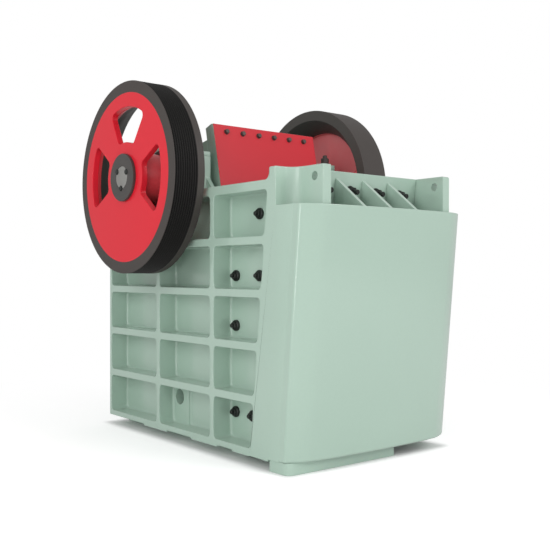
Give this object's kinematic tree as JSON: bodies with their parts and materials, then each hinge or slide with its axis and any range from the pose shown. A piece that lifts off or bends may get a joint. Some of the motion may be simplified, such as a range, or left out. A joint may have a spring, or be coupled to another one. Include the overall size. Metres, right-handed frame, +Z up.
{
  "type": "jaw crusher",
  "caption": "Single-toggle jaw crusher with a ribbed frame, bowed front panel, swing jaw, belt sheave and flywheel.",
  "frame": {"origin": "on the floor, midway between the side frames, at the centre of the anchor holes in the base rails", "axes": "+X to the machine's right, +Y towards the back, +Z up; the bowed panel faces -Y"},
  "size_m": [2.35, 2.8741, 3.008],
  "materials": {
    "green_paint": "gloss",
    "red_paint": "gloss",
    "dark_paint": "satin",
    "machined_steel": "satin",
    "manganese_steel": "matte"
  },
  "bodies": {
    "frame": {"access_pad_left": "green_paint", "access_pad_right": "green_paint", "adjusting_wedge": "machined_steel", "base_rail_left": "green_paint", "base_rail_right": "green_paint", "bearing_cap_left": "green_paint", "bearing_cap_right": "green_paint", "bearing_cover_left": "dark_paint", "bearing_cover_right": "dark_paint", "bearing_housing_left": "green_paint", "bearing_housing_right": "green_paint", "cheek_plate_lower_left": "manganese_steel", "cheek_plate_lower_right": "manganese_steel", "cheek_plate_upper_left": "manganese_steel", "cheek_plate_upper_right": "manganese_steel", "corner_post_left": "green_paint", "corner_post_right": "green_paint", "fixed_jaw_plate": "manganese_steel", "front_foot": "green_paint", "front_panel": "green_paint", "front_ribs": "green_paint", "front_wall": "green_paint", "rear_beam": "green_paint", "rear_ribs": "green_paint", "rear_wall": "green_paint", "side_plate_left": "green_paint", "side_plate_right": "green_paint", "side_ribs_left": "green_paint", "side_ribs_right": "green_paint", "toggle_block": "green_paint", "toggle_plate": "manganese_steel"},
    "rotor": {"eccentric_shaft": "machined_steel", "drive_sheave": "red_paint", "flywheel": "red_paint", "hub_cap_left": "dark_paint", "hub_cap_right": "dark_paint"},
    "swing_jaw": {"pitman_head": "green_paint", "pitman_front": "green_paint", "pitman_webs": "green_paint", "moving_jaw_plate": "manganese_steel", "guard_plate": "red_paint"}
  },
  "joints": [
    {"name": "shaft_turn", "type": "hinge", "parent": "frame", "child": "rotor", "pos_m": [0, 0.515, 2.208], "axis": [1, 0, 0], "continuous": true},
    {"name": "jaw_swing", "type": "hinge", "parent": "rotor", "child": "swing_jaw", "pos_m": [0, 0.515, 2.19], "axis": [1, 0, 0], "continuous": true}
  ],
  "couplings": [
    {"joint": "jaw_swing", "follows": "shaft_turn", "ratio": -1}
  ]
}
